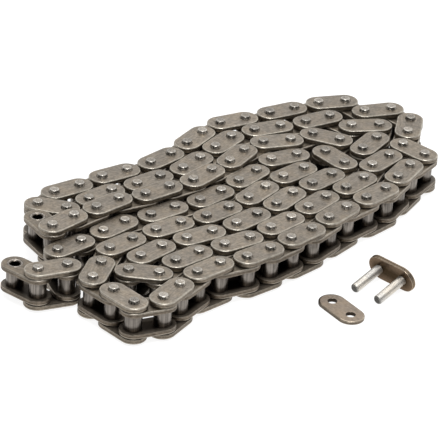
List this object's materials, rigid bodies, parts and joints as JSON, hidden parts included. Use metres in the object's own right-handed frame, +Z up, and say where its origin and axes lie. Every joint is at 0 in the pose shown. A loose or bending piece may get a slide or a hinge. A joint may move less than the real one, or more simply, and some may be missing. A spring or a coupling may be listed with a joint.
{
  "type": "timing chain",
  "caption": "Open-ended bush timing chain of flat steel plates, folded in a flat pile, with its loose connecting link beside it.",
  "frame": {"origin": "middle of the overall box, on the floor plane that the pins' feet stand on", "axes": "+Z up along every hinge pin, X and Y as the pile is laid, with the loose link at +X and -Y"},
  "size_m": [0.1118, 0.1238, 0.0143],
  "materials": {
    "outer_plate_steel": "satin, lightly oiled",
    "inner_plate_steel": "satin, lightly oiled",
    "pin_steel": "ground, bright riveted ends",
    "bush_steel": "ground"
  },
  "bodies": {
    "packed_chain": {"row_3_inner_link_002": "inner_plate_steel", "row_3_outer_link_003": "outer_plate_steel", "row_3_inner_link_004": "inner_plate_steel", "row_3_outer_link_005": "outer_plate_steel", "row_3_inner_link_006": "inner_plate_steel", "row_3_outer_link_007": "outer_plate_steel", "row_3_inner_link_008": "inner_plate_steel", "row_3_outer_link_009": "outer_plate_steel", "row_3_inner_link_010": "inner_plate_steel", "row_3_outer_link_011": "outer_plate_steel", "row_3_inner_link_012": "inner_plate_steel", "row_3_outer_link_013": "outer_plate_steel", "row_3_inner_link_014": "inner_plate_steel", "row_3_outer_link_015": "outer_plate_steel", "row_8_inner_link_078": "inner_plate_steel", "row_8_outer_link_079": "outer_plate_steel", "row_8_inner_link_080": "inner_plate_steel", "row_8_outer_link_081": "outer_plate_steel", "row_8_inner_link_082": "inner_plate_steel", "row_8_outer_link_083": "outer_plate_steel", "row_8_inner_link_084": "inner_plate_steel", "row_8_outer_link_085": "outer_plate_steel", "row_8_inner_link_086": "inner_plate_steel", "row_8_outer_link_087": "outer_plate_steel", "row_8_inner_link_088": "inner_plate_steel", "row_8_outer_link_089": "outer_plate_steel", "row_8_inner_link_090": "inner_plate_steel", "row_8_outer_link_091": "outer_plate_steel", "row_8_inner_link_092": "inner_plate_steel", "row_8_outer_link_093": "outer_plate_steel", "row_6_strand": "outer_plate_steel", "row_7_strand": "outer_plate_steel", "row_2_strand": "outer_plate_steel", "row_1_strand": "outer_plate_steel", "row_5_strand": "outer_plate_steel", "row_4_strand": "outer_plate_steel"},
    "end_a_inner_link": {"end_a_lower_inner_plate": "inner_plate_steel", "end_a_upper_inner_plate": "inner_plate_steel", "end_a_bush_000": "bush_steel", "end_a_bush_001": "bush_steel"},
    "end_a_outer_link": {"end_a_lower_outer_plate": "outer_plate_steel", "end_a_upper_outer_plate": "outer_plate_steel", "end_a_pin_001": "pin_steel", "end_a_pin_002": "pin_steel"},
    "end_b_second_inner_link": {"end_b_second_inner_link": "inner_plate_steel"},
    "end_b_outer_link": {"end_b_lower_outer_plate": "outer_plate_steel", "end_b_upper_outer_plate": "outer_plate_steel", "end_b_pin_119": "pin_steel", "end_b_pin_120": "pin_steel"},
    "end_b_inner_link": {"end_b_lower_inner_plate": "inner_plate_steel", "end_b_upper_inner_plate": "inner_plate_steel", "end_b_bush_120": "bush_steel", "end_b_bush_121": "bush_steel"},
    "loose_cover_plate": {"loose_cover_plate": "outer_plate_steel"},
    "loose_pin_plate": {"loose_pin_plate": "outer_plate_steel", "loose_pin_1": "pin_steel", "loose_pin_2": "pin_steel"}
  },
  "joints": [
    {"name": "end_a_outer_hinge", "type": "hinge", "parent": "packed_chain", "child": "end_a_outer_link", "pos_m": [-0.03903, -0.02074, 0.00238], "axis": [0, 0, 1], "range_deg": [-6, 0]},
    {"name": "end_a_inner_hinge", "type": "hinge", "parent": "end_a_outer_link", "child": "end_a_inner_link", "pos_m": [-0.04412, -0.02661, 0.00255], "axis": [0, 0, 1], "range_deg": [-4, 90]},
    {"name": "end_b_second_inner_hinge", "type": "hinge", "parent": "packed_chain", "child": "end_b_second_inner_link", "pos_m": [-0.04205, -0.03482, 0], "axis": [0, 0, 1], "range_deg": [-35, 2]},
    {"name": "end_b_outer_hinge", "type": "hinge", "parent": "end_b_second_inner_link", "child": "end_b_outer_link", "pos_m": [-0.03901, -0.04197, 0], "axis": [0, 0, 1], "range_deg": [-10, 50]},
    {"name": "end_b_inner_hinge", "type": "hinge", "parent": "end_b_outer_link", "child": "end_b_inner_link", "pos_m": [-0.04614, -0.04507, 0], "axis": [0, 0, 1], "range_deg": [-20, 110]},
    {"name": "loose_pin_plate_lift", "type": "slide", "parent": "packed_chain", "child": "loose_pin_plate", "axis": [0, 0, 1], "range_m": [0, 0.02]},
    {"name": "loose_cover_plate_lift", "type": "slide", "parent": "packed_chain", "child": "loose_cover_plate", "axis": [0, 0, 1], "range_m": [0, 0.02]}
  ]
}
